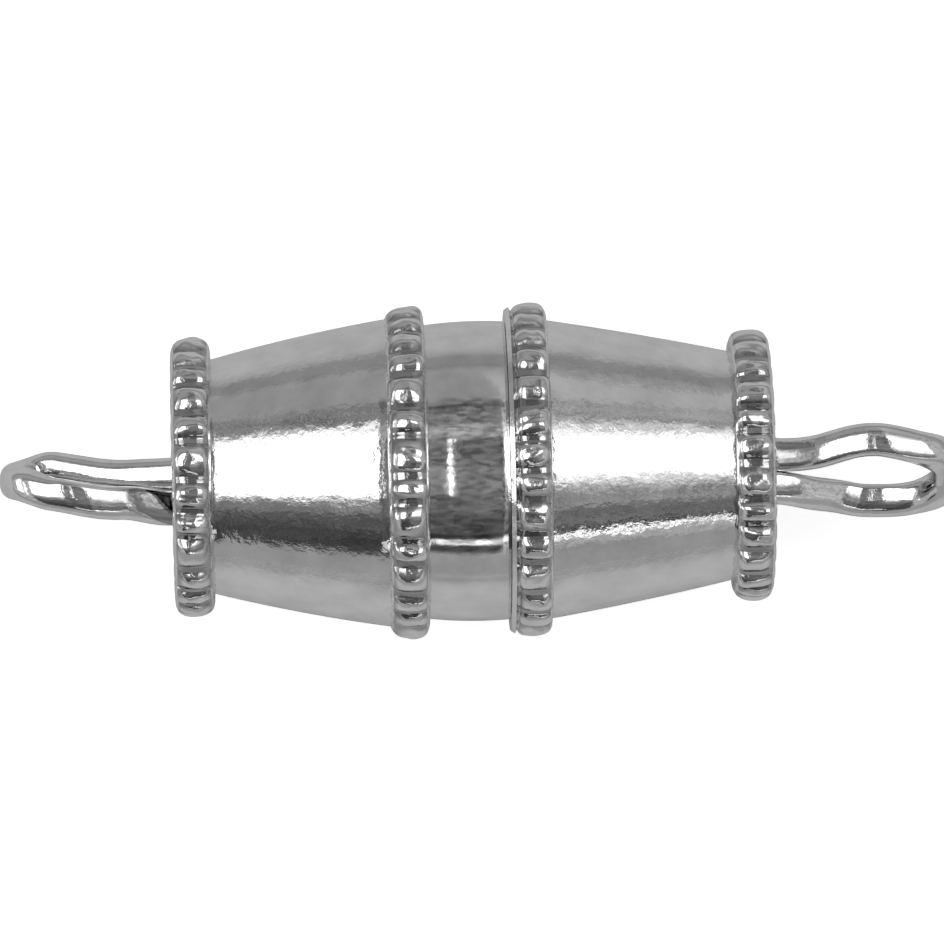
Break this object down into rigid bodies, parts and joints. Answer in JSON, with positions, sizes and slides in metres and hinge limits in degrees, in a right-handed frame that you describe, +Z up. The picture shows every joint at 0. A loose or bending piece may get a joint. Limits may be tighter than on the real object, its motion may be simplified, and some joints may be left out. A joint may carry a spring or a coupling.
{
  "type": "barrel clasp",
  "caption": "Tapered screw clasp for a necklace or bracelet, with beaded rings round the barrel and a swivelling wire eye at each end.",
  "frame": {"origin": "on the surface that the clasp lies on, under the middle of its length", "axes": "+X along the barrel from the stud half's eye to the socket half's eye, +Z up off the surface, +Y across the barrel"},
  "size_m": [0.0144, 0.005, 0.005],
  "materials": {
    "barrel_plate": "polished bright plate over brass, slightly mottled",
    "wire_plate": "polished bright plate on drawn wire",
    "stud_plate": "bright plate on a cut thread",
    "washer_plate": "plain dull plate"
  },
  "bodies": {
    "stud_half": {"stud_barrel": "barrel_plate", "screw_stud": "stud_plate", "stud_washer": "washer_plate"},
    "stud_eye": {"stud_eye": "wire_plate"},
    "screw_carrier": {"socket_washer": "washer_plate"},
    "socket_half": {"socket_barrel": "barrel_plate"},
    "socket_eye": {"socket_eye": "wire_plate"}
  },
  "joints": [
    {"name": "stud_eye_swivel", "type": "hinge", "parent": "stud_half", "child": "stud_eye", "pos_m": [-0.0045, 0, 0.0025], "axis": [1, 0, 0], "continuous": true},
    {"name": "screw_travel", "type": "slide", "parent": "stud_half", "child": "screw_carrier", "axis": [1, 0, 0], "range_m": [0, 0.00225]},
    {"name": "screw_turn", "type": "hinge", "parent": "screw_carrier", "child": "socket_half", "pos_m": [0.002, 0, 0.0025], "axis": [1, 0, 0], "range_deg": [0, 1800]},
    {"name": "socket_eye_swivel", "type": "hinge", "parent": "screw_carrier", "child": "socket_eye", "pos_m": [0.004, 0, 0.0025], "axis": [1, 0, 0], "continuous": true}
  ],
  "couplings": [
    {"joint": "screw_turn", "follows": "screw_travel", "rad_per_m": 13963}
  ]
}
